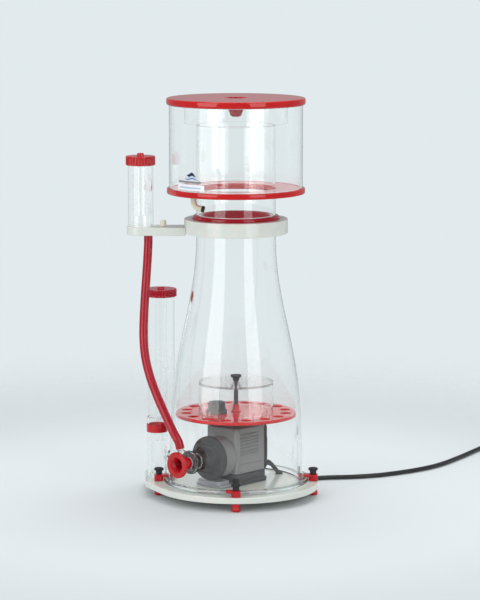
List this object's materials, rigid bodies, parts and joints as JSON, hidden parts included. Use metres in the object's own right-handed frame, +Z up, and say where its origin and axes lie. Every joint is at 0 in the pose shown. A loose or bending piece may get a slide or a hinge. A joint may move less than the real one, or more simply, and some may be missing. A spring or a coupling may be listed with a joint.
{
  "type": "protein skimmer",
  "caption": "Free-standing aquarium protein skimmer: clear bottle-shaped column on a white base, inner needle-wheel pump, lift-off collection cup, air silencer, hose and standpipe.",
  "frame": {"origin": "bottom centre of the skimmer's own box, power cord and plug left out, at the underside of the feet", "axes": "+Z up along the column, -X towards the air silencer and the standpipe, -Y towards the front, where the pump's intake and venturi face front left"},
  "size_m": [0.6928, 0.5916, 0.598],
  "materials": {
    "clear_acrylic": "polished clear cast acrylic",
    "red_acrylic": "polished red cast acrylic",
    "red_plastic": "moulded red plastic, satin gloss",
    "hose_silicone": "translucent red silicone, satin",
    "white_acrylic": "white cast acrylic, satin",
    "cream_nylon": "cream nylon and ceramic",
    "black_nylon": "black nylon, fine grain",
    "seal_rubber": "black rubber",
    "pump_grey": "warm grey moulded plastic, fine grain",
    "pump_black": "charcoal moulded plastic, fine grain",
    "cord_rubber": "black cable jacket"
  },
  "bodies": {
    "base": {"wall_union": "clear_acrylic", "body_shell": "clear_acrylic", "body_flange": "clear_acrylic", "standpipe": "clear_acrylic", "outlet_branch": "clear_acrylic", "outlet_tube": "clear_acrylic", "silencer_tube": "clear_acrylic", "bubble_dome": "clear_acrylic", "venturi_barb": "clear_acrylic", "bubble_plate": "red_acrylic", "base_foot_right": "red_plastic", "base_foot_back": "red_plastic", "base_foot_left": "red_plastic", "base_foot_front": "red_plastic", "outlet_ring": "red_plastic", "venturi": "red_plastic", "air_hose": "hose_silicone", "base_plate": "white_acrylic", "body_collar": "white_acrylic", "silencer_bracket": "white_acrylic", "bracket_screw": "cream_nylon", "rotor_shaft": "cream_nylon", "dome_rod": "black_nylon", "discharge_pipe": "black_nylon", "cable_gland": "black_nylon", "base_seal": "seal_rubber", "shaft_bush_rear": "seal_rubber", "shaft_bush_front": "seal_rubber", "pump_housing": "pump_grey", "union_nut": "pump_grey", "pump_foot": "pump_black", "pump_volute": "pump_black", "power_cord": "cord_rubber", "cord_coil": "cord_rubber", "cord_tail": "cord_rubber", "power_plug": "cord_rubber"},
    "cup": {"cup_wall": "clear_acrylic", "cup_floor": "red_acrylic", "neck_tube": "clear_acrylic", "neck_flange": "red_acrylic", "neck_seal": "seal_rubber", "drain_elbow": "clear_acrylic"},
    "lid": {"lid_plate": "red_acrylic", "lid_skirt": "clear_acrylic", "lid_grip_cup": "red_acrylic"},
    "gate": {"gate_pipe": "clear_acrylic", "gate_knob": "red_plastic"},
    "air_cap": {"silencer_cap": "red_plastic", "silencer_inlet_pipe": "clear_acrylic"},
    "rotor": {"impeller": "red_plastic", "rotor_magnet": "pump_black"},
    "dome_nut": {"dome_knob": "black_nylon"},
    "clip_right": {"clip_right": "red_plastic"},
    "screw_right": {"thumb_screw_right": "black_nylon"},
    "clip_back": {"clip_back": "red_plastic"},
    "screw_back": {"thumb_screw_back": "black_nylon"},
    "clip_left": {"clip_left": "red_plastic"},
    "screw_left": {"thumb_screw_left": "black_nylon"},
    "clip_front": {"clip_front": "red_plastic"},
    "screw_front": {"thumb_screw_front": "black_nylon"}
  },
  "joints": [
    {"name": "cup_lift", "type": "slide", "parent": "base", "child": "cup", "axis": [0, 0, 1], "range_m": [0, 0.034]},
    {"name": "lid_lift", "type": "slide", "parent": "cup", "child": "lid", "axis": [0, 0, 1], "range_m": [0, 0.03]},
    {"name": "gate_turn", "type": "hinge", "parent": "base", "child": "gate", "pos_m": [-0.0941, 0.07, 0.3], "axis": [0, 0, 1], "range_deg": [0, 270]},
    {"name": "air_cap_turn", "type": "hinge", "parent": "base", "child": "air_cap", "pos_m": [-0.1214, 0, 0.505], "axis": [0, 0, 1], "range_deg": [0, 180]},
    {"name": "rotor_spin", "type": "hinge", "parent": "base", "child": "rotor", "pos_m": [0.0199, 0, 0.065], "axis": [-0.6691, -0.7431, 0], "continuous": true},
    {"name": "dome_nut_turn", "type": "hinge", "parent": "base", "child": "dome_nut", "pos_m": [0.0199, 0, 0.179], "axis": [0, 0, 1], "range_deg": [0, 360]},
    {"name": "clip_right_turn", "type": "hinge", "parent": "base", "child": "clip_right", "pos_m": [0.1359, 0, 0.027], "axis": [0, 0, 1], "range_deg": [0, 90]},
    {"name": "screw_right_turn", "type": "hinge", "parent": "base", "child": "screw_right", "pos_m": [0.1359, 0, 0.037], "axis": [0, 0, 1], "range_deg": [0, 360]},
    {"name": "clip_back_turn", "type": "hinge", "parent": "base", "child": "clip_back", "pos_m": [0.0199, 0.116, 0.027], "axis": [0, 0, 1], "range_deg": [0, 90]},
    {"name": "screw_back_turn", "type": "hinge", "parent": "base", "child": "screw_back", "pos_m": [0.0199, 0.116, 0.037], "axis": [0, 0, 1], "range_deg": [0, 360]},
    {"name": "clip_left_turn", "type": "hinge", "parent": "base", "child": "clip_left", "pos_m": [-0.0961, 0, 0.027], "axis": [0, 0, 1], "range_deg": [-90, 0]},
    {"name": "screw_left_turn", "type": "hinge", "parent": "base", "child": "screw_left", "pos_m": [-0.0961, 0, 0.037], "axis": [0, 0, 1], "range_deg": [0, 360]},
    {"name": "clip_front_turn", "type": "hinge", "parent": "base", "child": "clip_front", "pos_m": [0.0199, -0.116, 0.027], "axis": [0, 0, 1], "range_deg": [-90, 0]},
    {"name": "screw_front_turn", "type": "hinge", "parent": "base", "child": "screw_front", "pos_m": [0.0199, -0.116, 0.037], "axis": [0, 0, 1], "range_deg": [0, 360]}
  ]
}
